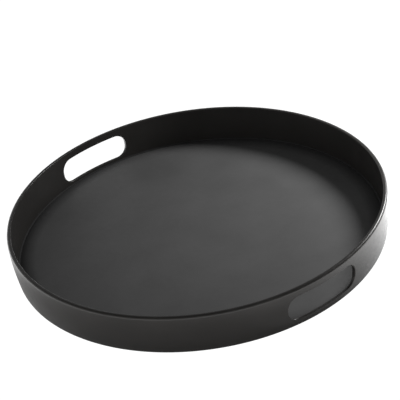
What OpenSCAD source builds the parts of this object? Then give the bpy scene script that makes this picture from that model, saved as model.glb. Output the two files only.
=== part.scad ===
// Round serving tray with two hand slots in its low wall.
//
// The wall is a hoop whose outside curves in towards its foot. A thin ledge runs
// around inside that foot. A base panel with a rebated edge laps onto the ledge,
// a non-slip liner covers the panel, a soft bead closes the corner between liner
// and wall, and rubber feet are held under the panel by push rivets.
// Origin: centre of the circle that the feet stand on. +Z is up, and the hand
// slots lie on the X axis.

/* [Rim hoop] */
// Outside diameter over the rim
tray_d = 360; // [300:1:420]
// Height of the hoop, from its foot to the top of the rim
wall_h = 40.5; // [36:0.5:50]
// Wall thickness at the rim
wall_t = 4.2; // [3.8:0.1:5.5]
// How far the outside curves in from rim to foot
outer_lean = 3.2; // [1:0.1:4.2]
// How far the inside leans in from rim to foot
inner_lean = 1.0; // [0.4:0.1:1.4]
// Edge radius of the rim on the outside
rim_edge_r = 2.2; // [0.6:0.1:2.4]
// Edge radius of the rim on the inside
rim_inner_r = 0.8; // [0.4:0.1:1.2]
// Edge radius around the hoop's foot
foot_edge_r = 3.5; // [0.6:0.1:4]

/* [Hand slots] */
// Length of a slot, measured straight across
slot_l = 77.6; // [70:0.2:100]
// Height of a slot
slot_h = 24.6; // [20:0.2:27]
// Height of a slot's lower edge above the hoop's foot
slot_z = 8.0; // [7:0.1:9]
// Corner radius of a slot
slot_corner_r = 11.0; // [4:0.5:12]

/* [Base panel] */
// Width of the ledge that the panel laps onto
ledge_w = 8.0; // [5:0.5:12]
// Thickness of the ledge
ledge_t = 1.4; // [1:0.1:1.8]
// Thickness of the panel's rebated edge
panel_edge_t = 1.8; // [1.2:0.1:2.2]
// Thickness of the panel inside the ledge
panel_t = 2.6; // [2.2:0.1:3.0]

/* [Liner and corner bead] */
// Thickness of the non-slip liner
liner_t = 1.0; // [0.6:0.1:1.4]
// Width of the bead in the corner between liner and wall
bead_w = 1.5; // [1:0.1:3]
// Thickness of the bead at its top edge, against the wall
bead_edge_t = 0.25; // [0.2:0.05:0.4]

/* [Feet] */
// Distance of each foot's centre from the tray's centre
foot_ring_r = 138; // [90:1:140]
// Diameter of a foot
foot_d = 18; // [14:0.5:24]
// How far the feet stand out below the hoop
foot_drop = 1.5; // [1:0.1:3]
// Edge radius around a foot
foot_r = 0.6; // [0.2:0.1:0.8]

/* [Push rivets] */
// Diameter of a rivet's shank
rivet_d = 4.0; // [3:0.1:5]
// Diameter of a rivet's head
rivet_head_d = 8.0; // [7:0.1:10]
// Thickness of a rivet's head
rivet_head_t = 0.8; // [0.5:0.1:1]
// How far a rivet's head sits above the standing plane
rivet_recess = 0.5; // [0.3:0.1:0.8]
// Diameter of a rivet's flared top end
rivet_flare_d = 6.4; // [5.6:0.1:8]
// Height of that flared end
rivet_flare_h = 1.2; // [0.8:0.1:1.6]

/* [Hidden] */
FOOT_COUNT = 4;

arc_steps = 6;      // segments in a rounded edge
barrel_steps = 8;   // segments in the outside's upright curve
round_fn = 180;     // segments around the tray
small_fn = 48;      // segments around a foot or rivet
through = 1;        // extra length where one solid cuts another

tray_r = tray_d / 2;
hoop_z = foot_drop;
rim_z = hoop_z + wall_h;
straight_z = rim_z - rim_edge_r;
inner_straight_z = rim_z - rim_inner_r;
ledge_z = hoop_z + ledge_t;
panel_z = ledge_z + panel_edge_t;
panel_under_z = panel_z - panel_t;
floor_z = panel_z + liner_t;

// The outside's upright curve is an arc that starts plumb under the rim. The
// foot's rounding touches it foot_turn degrees below the horizontal.
barrel_r = ((straight_z - hoop_z) ^ 2 + outer_lean ^ 2) / (2 * outer_lean);
barrel_x = tray_r - barrel_r;
foot_z = hoop_z + foot_edge_r;
foot_turn = asin((straight_z - foot_z) / (barrel_r - foot_edge_r));
foot_x = barrel_x + (barrel_r - foot_edge_r) * cos(foot_turn);

// Radius of the hoop's inside at height z
function inside_r(z) =
    tray_r - wall_t - inner_lean * (inner_straight_z - z) / (inner_straight_z - hoop_z);

ledge_r = inside_r(ledge_z) - ledge_w;
liner_r = inside_r(floor_z) - bead_w;
rivet_head_z = rivet_recess + rivet_head_t;

// Points of an arc about [x, z], from angle a0 to angle a1
function arc(x, z, r, a0, a1, n = arc_steps) =
    [for (i = [0:n]) let (a = a0 + (a1 - a0) * i / n) [x + r * cos(a), z + r * sin(a)]];

// Centre line angle of foot number i, midway between the hand slots
function foot_angle(i) = (i - 0.5) * 360 / FOOT_COUNT;

module turned(points, fn = round_fn) {
    rotate_extrude($fn = fn)
        polygon(points);
}

// Rounded rectangle of a hand slot, lying in X and Y
module slot_outline() {
    reach_x = slot_l / 2 - slot_corner_r;
    reach_y = slot_h / 2 - slot_corner_r;
    square([slot_l, 2 * reach_y], center = true);
    square([2 * reach_x, slot_h], center = true);
    for (sx = [-1, 1], sy = [-1, 1])
        translate([sx * reach_x, sy * reach_y])
            circle(r = slot_corner_r, $fn = small_fn);
}

// Cutter for the hand slot on the +X side (side = 1) or the -X side (side = -1)
module slot_cutter(side) {
    depth = wall_t + outer_lean + slot_l * slot_l / (4 * tray_r);
    translate([side * (tray_r + through), 0, hoop_z + slot_z + slot_h / 2])
        rotate([90, 0, -90 * side])
            linear_extrude(height = depth + 2 * through)
                slot_outline();
}

module rim_hoop() {
    color("#2a2a2b")
        difference() {
            turned(concat(
                [[ledge_r, hoop_z]],
                arc(foot_x, foot_z, foot_edge_r, -90, -foot_turn),
                arc(barrel_x, straight_z, barrel_r, -foot_turn * (1 - 1 / barrel_steps),
                    -foot_turn / barrel_steps, barrel_steps - 2),
                arc(tray_r - rim_edge_r, straight_z, rim_edge_r, 0, 90),
                arc(tray_r - wall_t + rim_inner_r, inner_straight_z, rim_inner_r, 90, 180),
                [[inside_r(ledge_z), ledge_z], [ledge_r, ledge_z]]
            ));
            for (side = [-1, 1])
                slot_cutter(side);
        }
}

module base_panel() {
    color("#262627")
        difference() {
            turned([
                [0, panel_under_z],
                [ledge_r, panel_under_z],
                [ledge_r, ledge_z],
                [inside_r(ledge_z), ledge_z],
                [inside_r(panel_z), panel_z],
                [0, panel_z]
            ]);
            for (i = [1:FOOT_COUNT])
                at_foot(i)
                    rivet_body(through);
        }
}

module non_slip_liner() {
    color("#343436")
        translate([0, 0, panel_z])
            cylinder(h = liner_t, r = liner_r, $fn = round_fn);
}

// Ring that fills the gap round the liner and is hollowed to a cove above it
module corner_bead() {
    cove_r = bead_w - bead_edge_t;
    top_z = floor_z + cove_r;
    color("#2f2f31")
        turned(concat(
            [[liner_r, panel_z], [inside_r(panel_z), panel_z], [inside_r(top_z), top_z]],
            arc(liner_r, top_z, cove_r, 0, -90)
        ));
}

// Moves its children to foot number i
module at_foot(i) {
    rotate([0, 0, foot_angle(i)])
        translate([foot_ring_r, 0, 0])
            children();
}

// Shank and flared end of a push rivet; extra runs it past the panel's faces
module rivet_body(extra = 0) {
    translate([0, 0, rivet_head_z])
        cylinder(h = panel_z - rivet_head_z + extra, d = rivet_d, $fn = small_fn);
    translate([0, 0, panel_z - rivet_flare_h])
        cylinder(h = rivet_flare_h, d1 = rivet_d, d2 = rivet_flare_d, $fn = small_fn);
}

// Rubber ring under the panel, with a sunk seat for the rivet's head
module foot(i) {
    color("#1c1c1c")
        at_foot(i)
            turned(concat(
                [[rivet_head_d / 2, 0]],
                arc(foot_d / 2 - foot_r, foot_r, foot_r, -90, 0),
                [[foot_d / 2, panel_under_z], [rivet_d / 2, panel_under_z],
                 [rivet_d / 2, rivet_head_z], [rivet_head_d / 2, rivet_head_z]]
            ), small_fn);
}

module foot_rivets() {
    color("#101010")
        for (i = [1:FOOT_COUNT])
            at_foot(i) {
                translate([0, 0, rivet_recess])
                    cylinder(h = rivet_head_t, d = rivet_head_d, $fn = small_fn);
                rivet_body();
            }
}

rim_hoop();
base_panel();
non_slip_liner();
corner_bead();
for (i = [1:FOOT_COUNT])
    foot(i);
foot_rivets();
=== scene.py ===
"""Round black serving tray with two hand slots, on a plain pale floor.

The wall with its rounded rim and slot edges, the liner, the bead in the
corner, the feet and their rivets are built here as smooth meshes around the
CAD frame. The base panel is the CAD node itself with a better material.
"""
import math

import bmesh
import bpy
from mathutils import Matrix, Vector


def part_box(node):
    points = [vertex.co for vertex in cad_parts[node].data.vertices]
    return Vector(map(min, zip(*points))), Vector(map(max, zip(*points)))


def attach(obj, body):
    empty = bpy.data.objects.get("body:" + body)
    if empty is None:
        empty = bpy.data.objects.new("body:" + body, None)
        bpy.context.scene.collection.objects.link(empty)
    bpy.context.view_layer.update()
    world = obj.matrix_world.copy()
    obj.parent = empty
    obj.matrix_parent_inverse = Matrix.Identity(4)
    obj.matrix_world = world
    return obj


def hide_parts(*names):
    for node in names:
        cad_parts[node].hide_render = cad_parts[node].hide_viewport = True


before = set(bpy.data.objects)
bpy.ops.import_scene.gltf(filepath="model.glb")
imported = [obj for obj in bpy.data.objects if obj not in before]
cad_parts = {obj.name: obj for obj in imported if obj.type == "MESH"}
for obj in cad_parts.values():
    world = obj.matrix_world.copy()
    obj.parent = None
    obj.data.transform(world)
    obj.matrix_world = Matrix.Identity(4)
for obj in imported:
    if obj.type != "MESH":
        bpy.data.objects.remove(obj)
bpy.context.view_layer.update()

MM = 0.001

# ---------------------------------------------------------------- sizes
# Taken from the frame
HOOP_LO, HOOP_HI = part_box("rim_hoop")
PANEL_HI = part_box("base_panel")[1]
LINER_LO, LINER_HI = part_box("non_slip_liner")
BEAD_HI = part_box("corner_bead")[1]
FOOT_COUNT = 4

TRAY_R = HOOP_HI.y
HOOP_Z = HOOP_LO.z
RIM_Z = HOOP_HI.z
FLOOR_Z = LINER_HI.z

# The rest of the wall's section and its slots, as the CAD has them
WALL_T = 4.2 * MM
OUTER_LEAN = 3.2 * MM
INNER_LEAN = 1.0 * MM
RIM_EDGE_R = 2.2 * MM
RIM_INNER_R = 0.8 * MM
FOOT_EDGE_R = 3.5 * MM
LEDGE_W = 8.0 * MM
LEDGE_T = 1.4 * MM
SLOT_L = 77.6 * MM
SLOT_H = 24.6 * MM
SLOT_Z = HOOP_Z + 8.0 * MM
SLOT_CORNER_R = 11.0 * MM

# Softened edges that the CAD leaves sharp
SLOT_EDGE_R = 0.9 * MM
SOFT = 0.3 * MM  # the ledge
LINER_EDGE = 0.12 * MM
FOOT_TOP_EDGE = 0.2 * MM
RIVET_HEAD_EDGE = 0.25 * MM

# Feet and their rivets
FOOT_BORE_R = 2.0 * MM
FOOT_SEAT_R = 4.0 * MM
FOOT_SEAT_Z = 1.3 * MM
FOOT_EDGE = 0.6 * MM
RIVET_SHANK_R = 2.0 * MM
RIVET_HEAD_R = 3.98 * MM  # a hair less than the seat
RIVET_HEAD_Z = 0.5 * MM
RIVET_HEAD_TOP = 1.3 * MM
RIVET_FLARE_R = 3.2 * MM
RIVET_FLARE_H = 1.2 * MM
DIMPLE_R = 1.1 * MM
DIMPLE_H = 0.35 * MM
DIMPLE_FLAT = 0.6         # share of the dimple's radius that is flat
DIMPLE_LIP_H = 0.05 * MM
DIMPLE_LIP_W = 0.2 * MM

# The outside's upright curve is an arc that starts plumb under the rim and
# runs into the foot's rounding
STRAIGHT_Z = RIM_Z - RIM_EDGE_R
INNER_STRAIGHT_Z = RIM_Z - RIM_INNER_R
BARREL_R = ((STRAIGHT_Z - HOOP_Z) ** 2 + OUTER_LEAN ** 2) / (2 * OUTER_LEAN)
BARREL_X = TRAY_R - BARREL_R
FOOT_Z = HOOP_Z + FOOT_EDGE_R
FOOT_TURN = math.asin((STRAIGHT_Z - FOOT_Z) / (BARREL_R - FOOT_EDGE_R))
FOOT_X = BARREL_X + (BARREL_R - FOOT_EDGE_R) * math.cos(FOOT_TURN)


def outside_r(z):
    """Radius of the wall's outside at height z."""
    return BARREL_X + math.sqrt(BARREL_R ** 2 - (STRAIGHT_Z - z) ** 2)


def inside_r(z):
    """Radius of the wall's inside at height z."""
    return TRAY_R - WALL_T - INNER_LEAN * (INNER_STRAIGHT_Z - z) / (INNER_STRAIGHT_Z - HOOP_Z)


def arc(x, z, r, a0, a1, n):
    """Points of an arc about (x, z) from angle a0 to a1, in degrees."""
    turn = [math.radians(a0 + (a1 - a0) * i / n) for i in range(n + 1)]
    return [(x + r * math.cos(a), z + r * math.sin(a)) for a in turn]


# ---------------------------------------------------------------- meshes
def finish_mesh(name, verts, faces):
    """A smooth closed mesh object from points and faces."""
    mesh = bpy.data.meshes.new(name)
    mesh.from_pydata(verts, [], faces)
    bm = bmesh.new()
    bm.from_mesh(mesh)
    bmesh.ops.remove_doubles(bm, verts=bm.verts, dist=1e-7)
    bmesh.ops.recalc_face_normals(bm, faces=bm.faces)
    for face in bm.faces:
        face.smooth = True
    bm.to_mesh(mesh)
    bm.free()
    piece = bpy.data.objects.new(name, mesh)
    bpy.context.scene.collection.objects.link(piece)
    return piece


def lathe_parts(profile, steps, centre=(0, 0), start=0):
    """Points and faces of a closed profile of (r, z) turned about a vertical axis."""
    verts, faces = [], []
    for j in range(steps):
        a = 2 * math.pi * j / steps
        for r, z in profile:
            verts.append((centre[0] + r * math.cos(a), centre[1] + r * math.sin(a), z))
    n = len(profile)
    for j in range(steps):
        k = (j + 1) % steps
        for i in range(n):
            m = (i + 1) % n
            if profile[i][0] == 0 and profile[m][0] == 0:
                continue
            quad = [j * n + i, k * n + i, k * n + m, j * n + m]
            if profile[i][0] == 0:
                quad = [quad[0], quad[2], quad[3]]
            elif profile[m][0] == 0:
                quad = [quad[0], quad[1], quad[2]]
            faces.append([start + v for v in quad])
    return verts, faces


def lathe(name, profile, steps, centre=(0, 0)):
    return finish_mesh(name, *lathe_parts(profile, steps, centre))


# ---------------------------------------------------------------- wall
STEPS = 360          # columns around the tray
SLOT_STEPS = 32      # columns of them across a slot's patch
SLOT_ROWS = 12       # rows up a slot's patch
RIM_STEPS = 10       # rows of the rim's outer rounding
RIM_INNER_STEPS = 8  # rows of its inner rounding
FOOT_STEPS = 12      # rows of the foot's rounding
BLEND_RINGS = 5      # rings from a patch's border to the slot's rounding
ROUND_RINGS = 5      # rings around that rounding
SLOT_MARGIN = 2.6 * MM
SUPPORT = 0.35 * MM  # distance of the extra row that keeps a rounding crisp
PATCH_Z0 = SLOT_Z - SLOT_MARGIN
PATCH_Z1 = SLOT_Z + SLOT_H + SLOT_MARGIN
SLOT_MID_Z = SLOT_Z + SLOT_H / 2


def wall_profile():
    """The hoop's closed section, and the rows where the slot's patches start outside and inside."""
    patch = [PATCH_Z0 + (PATCH_Z1 - PATCH_Z0) * i / SLOT_ROWS for i in range(SLOT_ROWS + 1)]
    ledge_z = HOOP_Z + LEDGE_T
    ledge_r = inside_r(ledge_z) - LEDGE_W

    pts = [(ledge_r, HOOP_Z + SOFT), (ledge_r + SOFT, HOOP_Z)]
    pts += [(FOOT_X - SUPPORT, HOOP_Z)]
    pts += arc(FOOT_X, FOOT_Z, FOOT_EDGE_R, -90, -math.degrees(FOOT_TURN), FOOT_STEPS)
    pts += [(outside_r(FOOT_Z + SUPPORT), FOOT_Z + SUPPORT)]
    outer_row = len(pts)
    pts += [(outside_r(z), z) for z in patch]
    pts += [(outside_r(STRAIGHT_Z - SUPPORT), STRAIGHT_Z - SUPPORT)]
    pts += arc(TRAY_R - RIM_EDGE_R, STRAIGHT_Z, RIM_EDGE_R, 0, 90, RIM_STEPS)
    pts += arc(TRAY_R - WALL_T + RIM_INNER_R, INNER_STRAIGHT_Z, RIM_INNER_R, 90, 180,
               RIM_INNER_STEPS)
    pts += [(inside_r(INNER_STRAIGHT_Z - SUPPORT), INNER_STRAIGHT_Z - SUPPORT)]
    inner_row = len(pts)
    pts += [(inside_r(z), z) for z in reversed(patch)]
    pts += [(inside_r(ledge_z + SOFT), ledge_z + SOFT), (inside_r(ledge_z), ledge_z)]
    pts += [(ledge_r + SOFT, ledge_z), (ledge_r, ledge_z - SOFT)]
    return pts, outer_row, inner_row


# Half-widths of the parts of a patch's border that are joined to a slot's straight sides
FLAT_U = 0.56
FLAT_W = 0.12


def slot_point(u, w):
    """Point on a slot's outline and its outward direction, both (y, z) from the slot's middle.

    u and w run from -1 to 1 across and up the patch's border that the point is joined to.
    """
    flat_y = SLOT_L / 2 - SLOT_CORNER_R
    flat_z = SLOT_H / 2 - SLOT_CORNER_R
    sy = -1 if u < 0 else 1
    sz = -1 if w < 0 else 1
    if abs(w) == 1 and abs(u) <= FLAT_U:
        return (flat_y * u / FLAT_U, sz * SLOT_H / 2), (0, sz)
    if abs(u) == 1 and abs(w) <= FLAT_W:
        return (sy * SLOT_L / 2, flat_z * w / FLAT_W), (sy, 0)
    if abs(w) == 1:
        turn = math.radians(90 - 45 * (abs(u) - FLAT_U) / (1 - FLAT_U))
    else:
        turn = math.radians(45 * (abs(w) - FLAT_W) / (1 - FLAT_W))
    c, s = math.cos(turn), math.sin(turn)
    return (sy * (flat_y + SLOT_CORNER_R * c), sz * (flat_z + SLOT_CORNER_R * s)), (sy * c, sz * s)


def patch_rings(loop, border, radius_at, inward, side):
    """Rings of points from a patch's border to the end of the rounding inside the slot.

    loop: (u, w) of each border point; border: its (y, z). inward: which way x goes into the wall.
    """
    outline = [slot_point(u, w) for u, w in loop]

    def on_face(y, z, depth=0.0):
        return (side * (math.sqrt(radius_at(z) ** 2 - y ** 2) + inward * depth), y, z)

    def beside(point, gap):
        (y, z), (ny, nz) = point
        return y + ny * gap, SLOT_MID_Z + z + nz * gap

    rings = []
    ends = [beside(p, SLOT_EDGE_R + SUPPORT) for p in outline]
    for k in range(1, BLEND_RINGS + 1):
        t = k / BLEND_RINGS
        rings.append([on_face(by + (ey - by) * t, bz + (ez - bz) * t)
                      for (by, bz), (ey, ez) in zip(border, ends)])
    for k in range(ROUND_RINGS + 1):
        a = math.radians(90 * k / ROUND_RINGS)
        near = [beside(p, SLOT_EDGE_R * (1 - math.sin(a))) for p in outline]
        rings.append([on_face(y, z, SLOT_EDGE_R * (1 - math.cos(a))) for y, z in near])
    return rings


def patch_border():
    """(u, w) of the border points of a slot's patch, once around."""
    us = [2 * c / SLOT_STEPS - 1 for c in range(SLOT_STEPS + 1)]
    ws = [2 * r / SLOT_ROWS - 1 for r in range(SLOT_ROWS + 1)]
    loop = [(u, 1) for u in us] + [(1, w) for w in reversed(ws[:-1])]
    return loop + [(u, -1) for u in reversed(us[:-1])] + [(-1, w) for w in ws[1:-1]]


def wall_grid(pts, verts):
    """Gives the number of the point in row i of the section and column j around the tray."""
    at = {}

    def grid(i, j):
        key = (i % len(pts), j % STEPS)
        if key not in at:
            a = 2 * math.pi * key[1] / STEPS
            r, z = pts[key[0]]
            at[key] = len(verts)
            verts.append((r * math.cos(a), r * math.sin(a), z))
        return at[key]

    return grid


def bridge(faces, a, b):
    """Quads between two closed rings of as many points."""
    for k in range(len(a)):
        m = (k + 1) % len(a)
        faces.append([a[k], a[m], b[m], b[k]])


def add_slot(verts, faces, grid, centre, side, walls):
    """Rings of faces from the borders of a slot's two patches to the middle of its edge."""
    half = SLOT_STEPS // 2
    loop = patch_border()
    ends = []
    for first_row, up, radius_at, inward in walls:
        last = [grid(first_row + round((up * w + 1) / 2 * SLOT_ROWS), centre + round(side * u * half))
                for u, w in loop]
        border = [verts[v][1:] for v in last]
        for ring in patch_rings(loop, border, radius_at, inward, side):
            now = list(range(len(verts), len(verts) + len(ring)))
            verts.extend(ring)
            bridge(faces, last, now)
            last = now
        ends.append(last)
    bridge(faces, *ends)


def build_wall():
    """The hoop: a grid around the tray with a patch of rings around each hand slot."""
    pts, outer_row, inner_row = wall_profile()
    centres = {1: 0, -1: STEPS // 2}
    verts, faces = [], []
    grid = wall_grid(pts, verts)

    def in_patch(i, j):
        rows = any(r <= i < r + SLOT_ROWS for r in (outer_row, inner_row))
        return rows and any((j - c + SLOT_STEPS // 2) % STEPS < SLOT_STEPS for c in centres.values())

    for i in range(len(pts)):
        for j in range(STEPS):
            if not in_patch(i, j):
                faces.append([grid(i, j), grid(i, j + 1), grid(i + 1, j + 1), grid(i + 1, j)])

    # first row of the patch, which way its rows run, the face's radius, and which way is inward
    walls = ((outer_row, 1, outside_r, -1), (inner_row, -1, inside_r, 1))
    for side, centre in centres.items():
        add_slot(verts, faces, grid, centre, side, walls)
    return finish_mesh("wall", verts, faces)


# ---------------------------------------------------------------- liner, bead, feet
LINER_RINGS = 12
COVE_STEPS = 10
FOOT_COLUMNS = 72
RIVET_COLUMNS = 48


def build_liner():
    """Sheet with a slightly softened top edge."""
    r = LINER_HI.x
    rings = [(r * k / LINER_RINGS, FLOOR_Z) for k in range(LINER_RINGS - 1, 0, -1)]
    section = [(0, LINER_LO.z), (r, LINER_LO.z), (r, FLOOR_Z - LINER_EDGE), (r - LINER_EDGE, FLOOR_Z)]
    return lathe("liner", section + rings + [(0, FLOOR_Z)], STEPS)


def build_bead():
    """Cove in the corner between liner and wall."""
    cove = BEAD_HI.z - FLOOR_Z
    r = LINER_HI.x
    section = [(r, LINER_LO.z), (inside_r(LINER_LO.z), LINER_LO.z), (inside_r(BEAD_HI.z), BEAD_HI.z)]
    return lathe("bead", section + arc(r, BEAD_HI.z, cove, 0, -90, COVE_STEPS), STEPS)


def foot_centre(i):
    """(x, y) of a foot's centre."""
    lo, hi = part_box(f"foot_{i}")
    return (lo.x + hi.x) / 2, (lo.y + hi.y) / 2


def build_foot(i):
    """Rubber ring with rounded edges and a seat for the rivet's head."""
    lo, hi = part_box(f"foot_{i}")
    r = (hi.x - lo.x) / 2
    top = hi.z
    lip = FOOT_EDGE / 2
    section = [(FOOT_BORE_R, top), (FOOT_BORE_R, FOOT_SEAT_Z), (FOOT_SEAT_R, FOOT_SEAT_Z)]
    section += [(FOOT_SEAT_R, lip)] + arc(FOOT_SEAT_R + lip, lip, lip, 180, 270, 5)[1:]
    section += arc(r - FOOT_EDGE, FOOT_EDGE, FOOT_EDGE, -90, 0, 8)
    section += arc(r - FOOT_TOP_EDGE, top - FOOT_TOP_EDGE, FOOT_TOP_EDGE, 0, 90, 4)
    return lathe(f"foot_pad_{i}", section, FOOT_COLUMNS, foot_centre(i))


def rivet_section():
    """Half a push rivet: head with a centre dimple, shank and flared top."""
    dimple_top = RIVET_HEAD_Z + DIMPLE_H
    section = [(0, dimple_top), (DIMPLE_R * DIMPLE_FLAT, dimple_top)]
    section += [(DIMPLE_R, RIVET_HEAD_Z + DIMPLE_LIP_H), (DIMPLE_R + DIMPLE_LIP_W, RIVET_HEAD_Z)]
    section += arc(RIVET_HEAD_R - RIVET_HEAD_EDGE, RIVET_HEAD_Z + RIVET_HEAD_EDGE,
                   RIVET_HEAD_EDGE, -90, 0, 5)
    section += [(RIVET_HEAD_R, RIVET_HEAD_TOP), (RIVET_SHANK_R, RIVET_HEAD_TOP)]
    section += [(RIVET_SHANK_R, PANEL_HI.z - RIVET_FLARE_H)]
    return section + [(RIVET_FLARE_R, PANEL_HI.z), (0, PANEL_HI.z)]


def build_rivets():
    """The four push rivets as one object."""
    verts, faces = [], []
    section = rivet_section()
    for i in range(1, FOOT_COUNT + 1):
        v, f = lathe_parts(section, RIVET_COLUMNS, foot_centre(i), len(verts))
        verts += v
        faces += f
    return finish_mesh("push_rivets", verts, faces)


# ---------------------------------------------------------------- materials
def new_material(name):
    """An empty node material, its tree and a helper that adds a node with settings."""
    material = bpy.data.materials.new(name)
    material.use_nodes = True
    tree = material.node_tree
    tree.nodes.clear()

    def add(kind, inputs=(), **settings):
        node = tree.nodes.new("ShaderNode" + kind)
        for key, value in settings.items():
            setattr(node, key, value)
        for key, value in dict(inputs).items():
            if isinstance(value, bpy.types.NodeSocket):
                tree.links.new(value, node.inputs[key])
            else:
                node.inputs[key].default_value = value
        return node

    return material, add


def grey(value, warm=0.0):
    """A near neutral colour; warm shifts it towards yellow, or blue when negative."""
    return (value * (1 + warm), value, value * (1 - warm), 1.0)


CLOUD_SCALE = 22.0     # noise scales, per metre
MOTTLE_SCALE = 160.0
BLACK = (0, 0, 0, 1)
WHITE = (1, 1, 1, 1)


def two_tone(add, fac, start, end, low, high):
    """Colour that goes from low to high as fac goes from start to end."""
    tone = add("ValToRGB", {"Fac": fac})
    for element, position, colour in zip(tone.color_ramp.elements, (start, end), (low, high)):
        element.position = position
        element.color = colour
    return tone.outputs["Color"]


def rub_edges(add, colour, mottle, rubbed):
    """Patches of the rubbed colour along sharp edges."""
    edge = two_tone(add, add("NewGeometry").outputs["Pointiness"], 0.53, 0.62, BLACK, WHITE)
    patchy = add("Math", {0: edge, 1: mottle}, operation="MULTIPLY")
    mix = add("Mix", {"Factor": patchy.outputs["Value"], "A": colour, "B": rubbed}, data_type="RGBA")
    return mix.outputs["Result"]


def moulded(name, dark, light, rough, rough_spread, grain, grain_depth, specular=0.5, wear=0.0, warm=0.0):
    """Black moulded plastic or rubber: fine surface grain, cloudy colour, uneven gloss, rubbed edges."""
    material, add = new_material(name)
    place = add("TexCoord").outputs["Object"]
    cloud = add("TexNoise", {"Vector": place, "Scale": CLOUD_SCALE, "Detail": 4.0, "Roughness": 0.6})
    fine = add("TexNoise", {"Vector": place, "Scale": grain, "Detail": 3.0, "Roughness": 0.55})
    mottle = add("TexNoise", {"Vector": place, "Scale": MOTTLE_SCALE, "Detail": 2.0, "Roughness": 0.5})
    colour = two_tone(add, cloud.outputs["Fac"], 0.35, 0.68, grey(dark, warm), grey(light, warm))
    if wear:
        colour = rub_edges(add, colour, mottle.outputs["Fac"], grey(light + wear, warm))
    gloss = add("MapRange", {"Value": mottle.outputs["Fac"], "From Min": 0.3, "From Max": 0.7,
                             "To Min": rough - rough_spread, "To Max": rough + rough_spread})
    bump = add("Bump", {"Height": fine.outputs["Fac"], "Strength": 1.0, "Distance": grain_depth})
    shader = add("BsdfPrincipled", {
        "Base Color": colour,
        "Roughness": gloss.outputs["Result"],
        "Specular IOR Level": specular,
        "Normal": bump.outputs["Normal"],
    })
    add("OutputMaterial", {"Surface": shader.outputs["BSDF"]})
    return material


def dress(piece, material):
    piece.data.materials.clear()
    piece.data.materials.append(material)


def place_piece(piece, slot, material, *nodes):
    """Puts a finished piece on the tray's one body in place of its CAD nodes."""
    dress(piece, material)
    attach(piece, "root")
    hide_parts(*nodes)


# name, darkest and lightest grey, roughness and its spread, scale and depth of the grain
WALL_LOOK = moulded("satin_black_wall", 0.0125, 0.0155, 0.31, 0.03, 1400.0, 0.004 * MM,
                    specular=0.16, wear=0.01, warm=0.06)
PANEL_LOOK = moulded("grained_panel", 0.016, 0.024, 0.52, 0.06, 900.0, 0.03 * MM)
LINER_LOOK = moulded("non_slip_liner", 0.052, 0.060, 0.55, 0.05, 1600.0, 0.010 * MM, specular=0.10)
BEAD_LOOK = moulded("corner_bead", 0.014, 0.018, 0.64, 0.04, 1200.0, 0.004 * MM, specular=0.04)
FOOT_LOOK = moulded("foot_rubber", 0.012, 0.020, 0.66, 0.08, 1800.0, 0.02 * MM, wear=0.03)
RIVET_LOOK = moulded("rivet_nylon", 0.008, 0.013, 0.35, 0.05, 1500.0, 0.004 * MM)

place_piece(build_wall(), "wall", WALL_LOOK, "rim_hoop")
place_piece(build_liner(), "liner", LINER_LOOK, "non_slip_liner")
place_piece(build_bead(), "bead", BEAD_LOOK, "corner_bead")
for foot_number in range(1, FOOT_COUNT + 1):
    place_piece(build_foot(foot_number), "foot", FOOT_LOOK, f"foot_{foot_number}")
place_piece(build_rivets(), "rivet", RIVET_LOOK, "foot_rivets")
dress(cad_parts["base_panel"], PANEL_LOOK)

# ---------------------------------------------------------------- camera
CAM_AZIMUTH = 56.515     # degrees; 0 looks along +Y
CAM_ELEVATION = 32.176
CAM_ROLL = -9.148
CAM_LENS = 137.18        # mm
SENSOR_WIDTH = 36
CAM_DISTANCE = 1472.2 * MM
CAM_AIM = Vector((-25.69, 22.52, 21.36)) * MM


def view_dir(right, away, up):
    """Unit direction given as seen from the camera's side of the tray."""
    a = math.radians(CAM_AZIMUTH)
    to_right = Vector((math.cos(a), math.sin(a), 0))
    to_back = Vector((-math.sin(a), math.cos(a), 0))
    return (to_right * right + to_back * away + Vector((0, 0, up))).normalized()


def add_camera():
    e = math.radians(CAM_ELEVATION)
    back = view_dir(0, -math.cos(e), math.sin(e))
    camera = bpy.data.objects.new("camera", bpy.data.cameras.new("camera"))
    bpy.context.scene.collection.objects.link(camera)
    camera.data.lens = CAM_LENS
    camera.data.sensor_width = SENSOR_WIDTH
    camera.data.clip_end = 50
    camera.location = CAM_AIM + back * CAM_DISTANCE
    level = (-back).to_track_quat("-Z", "Y").to_matrix()
    turn = level @ Matrix.Rotation(math.radians(CAM_ROLL), 3, "Z")
    camera.rotation_mode = "QUATERNION"
    camera.rotation_quaternion = turn.to_quaternion()
    bpy.context.scene.camera = camera


# ---------------------------------------------------------------- floor and light
KEY_AZIMUTH = 26         # degrees from the picture's right towards its back
KEY_ELEVATION = 30.5
KEY_DISTANCE = 0.49
KEY_SIZE = 0.1225
KEY_POWER = 3.9

STUDIO_LIGHT = 1.6       # strength of the band of light around the horizon
STUDIO_DIM = 0.20        # strength of everything else
GAP_OPPOSITE = (190, 0)  # azimuth and elevation straight across from the dark gap
GAP_EDGES = (-0.8, 0.2)  # cosines from that direction between which the gap ends
BAND_EDGES = (0.25, 0.75)  # sines of the elevations between which the band ends

FLOOR_SIZE = 6.0
FLOOR_SEEN = 1.1         # strength that the camera sees
FLOOR_MATT = 0.75        # grey of the matt sheet that the tray sees
FLOOR_GLOW = 4.0         # strength of the painted bounce glow far from the tray
FLOOR_GLOW_IN_SHADOW = 0.3    # strength under and close to it, a painted contact shadow
FLOOR_SHADOW_R = 0.168      # the painted contact shadow, and where it has gone over into the bright part
FLOOR_FADE_R = 0.254
FLOOR_SHADOW_SIDE = (-0.35, -1, 0)  # right, away and up: the painted shadow lies off centre to this side
# how far the painted contact shadow is shifted to that side
FLOOR_SHADOW_SHIFT = 0.055


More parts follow.
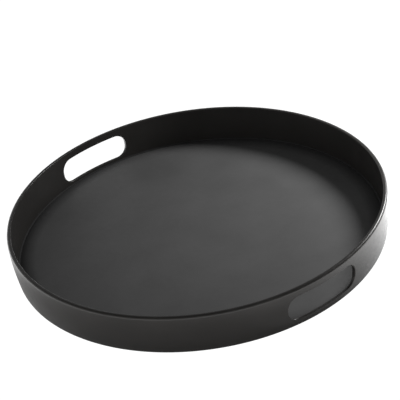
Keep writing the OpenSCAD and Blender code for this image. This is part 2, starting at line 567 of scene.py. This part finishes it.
def painted_floor_glow(add):
    """Strength of the floor's painted bounce glow, lower inside a circle around the tray as a painted
    contact shadow.
    """
    place = add("TexCoord").outputs["Object"]
    centre = view_dir(*FLOOR_SHADOW_SIDE) * FLOOR_SHADOW_SHIFT
    away = add("VectorMath", {0: place, 1: centre}, operation="DISTANCE")
    reach = add("MapRange", {
        "Value": away.outputs["Value"],
        "From Min": FLOOR_SHADOW_R,
        "From Max": FLOOR_FADE_R,
        "To Min": FLOOR_GLOW_IN_SHADOW,
        "To Max": FLOOR_GLOW,
    }, interpolation_type="SMOOTHSTEP")
    return reach.outputs["Result"]


def floor_material():
    """White to the camera, to the tray a matt sheet with a painted bounce glow and a painted contact
    shadow, and clear from below.
    """
    material, add = new_material("pale_floor")
    matt = add("BsdfDiffuse", {"Color": grey(FLOOR_MATT)})
    # painted bounce light from the floor, dimmed near the tray as a painted contact shadow
    bounce = add("Emission", {"Color": WHITE, "Strength": painted_floor_glow(add)})
    lit = add("AddShader", {0: matt.outputs["BSDF"], 1: bounce.outputs["Emission"]})
    seen = add("Emission", {"Color": WHITE, "Strength": FLOOR_SEEN})
    direct = add("LightPath").outputs["Is Camera Ray"]
    top = add("MixShader", {0: direct, 1: lit.outputs["Shader"], 2: seen.outputs["Emission"]})
    clear = add("BsdfTransparent")
    below = add("NewGeometry").outputs["Backfacing"]
    both = add("MixShader", {0: below, 1: top.outputs["Shader"], 2: clear.outputs["BSDF"]})
    add("OutputMaterial", {"Surface": both.outputs["Shader"]})
    return material


def add_floor():
    bm = bmesh.new()
    bmesh.ops.create_circle(bm, cap_ends=True, radius=FLOOR_SIZE, segments=128)
    mesh = bpy.data.meshes.new("stage_floor")
    bm.to_mesh(mesh)
    bm.free()
    floor = bpy.data.objects.new("stage_floor", mesh)
    bpy.context.scene.collection.objects.link(floor)
    dress(floor, floor_material())


def add_softbox(name, direction, distance, size, power):
    lamp = bpy.data.lights.new(name, "AREA")
    lamp.shape = "DISK"
    lamp.size = size
    lamp.energy = power
    box = bpy.data.objects.new(name, lamp)
    box.location = direction * distance
    box.rotation_mode = "QUATERNION"
    box.rotation_quaternion = direction.to_track_quat("Z", "Y")
    bpy.context.scene.collection.objects.link(box)


def sun_dir(azimuth, elevation):
    """Direction to a light: azimuth in degrees from the picture's right towards its back."""
    a, e = math.radians(azimuth), math.radians(elevation)
    return view_dir(math.cos(a) * math.cos(e), math.sin(a) * math.cos(e), math.sin(e))


def add_surroundings():
    """White studio with a dark ceiling and a dark gap on the key light's side."""
    world = bpy.data.worlds.new("studio")
    world.use_nodes = True
    tree = world.node_tree
    tree.nodes.clear()
    place = tree.nodes.new("ShaderNodeTexCoord")

    def fade(direction, edges, low, high):
        """low to high as the view turns towards a direction, between two cosines."""
        dot = tree.nodes.new("ShaderNodeVectorMath")
        dot.operation = "DOT_PRODUCT"
        dot.inputs[1].default_value = direction
        ramp = tree.nodes.new("ShaderNodeMapRange")
        ramp.interpolation_type = "SMOOTHSTEP"
        for socket, value in zip(("From Min", "From Max", "To Min", "To Max"), (*edges, low, high)):
            ramp.inputs[socket].default_value = value
        tree.links.new(place.outputs["Generated"], dot.inputs[0])
        tree.links.new(dot.outputs["Value"], ramp.inputs["Value"])
        return ramp.outputs["Result"]

    band = tree.nodes.new("ShaderNodeMath")
    band.operation = "MULTIPLY"
    total = tree.nodes.new("ShaderNodeMath")
    total.inputs[1].default_value = STUDIO_DIM
    glow = tree.nodes.new("ShaderNodeBackground")
    out = tree.nodes.new("ShaderNodeOutputWorld")
    tree.links.new(fade(sun_dir(*GAP_OPPOSITE), GAP_EDGES, 0.0, STUDIO_LIGHT), band.inputs[0])
    tree.links.new(fade((0, 0, 1), BAND_EDGES, 1.0, 0.0), band.inputs[1])
    tree.links.new(band.outputs["Value"], total.inputs[0])
    tree.links.new(total.outputs["Value"], glow.inputs["Strength"])
    tree.links.new(glow.outputs["Background"], out.inputs["Surface"])
    bpy.context.scene.world = world


add_camera()
add_floor()
add_surroundings()
add_softbox("key", sun_dir(KEY_AZIMUTH, KEY_ELEVATION), KEY_DISTANCE, KEY_SIZE, KEY_POWER)
bpy.context.scene.view_settings.view_transform = "Standard"
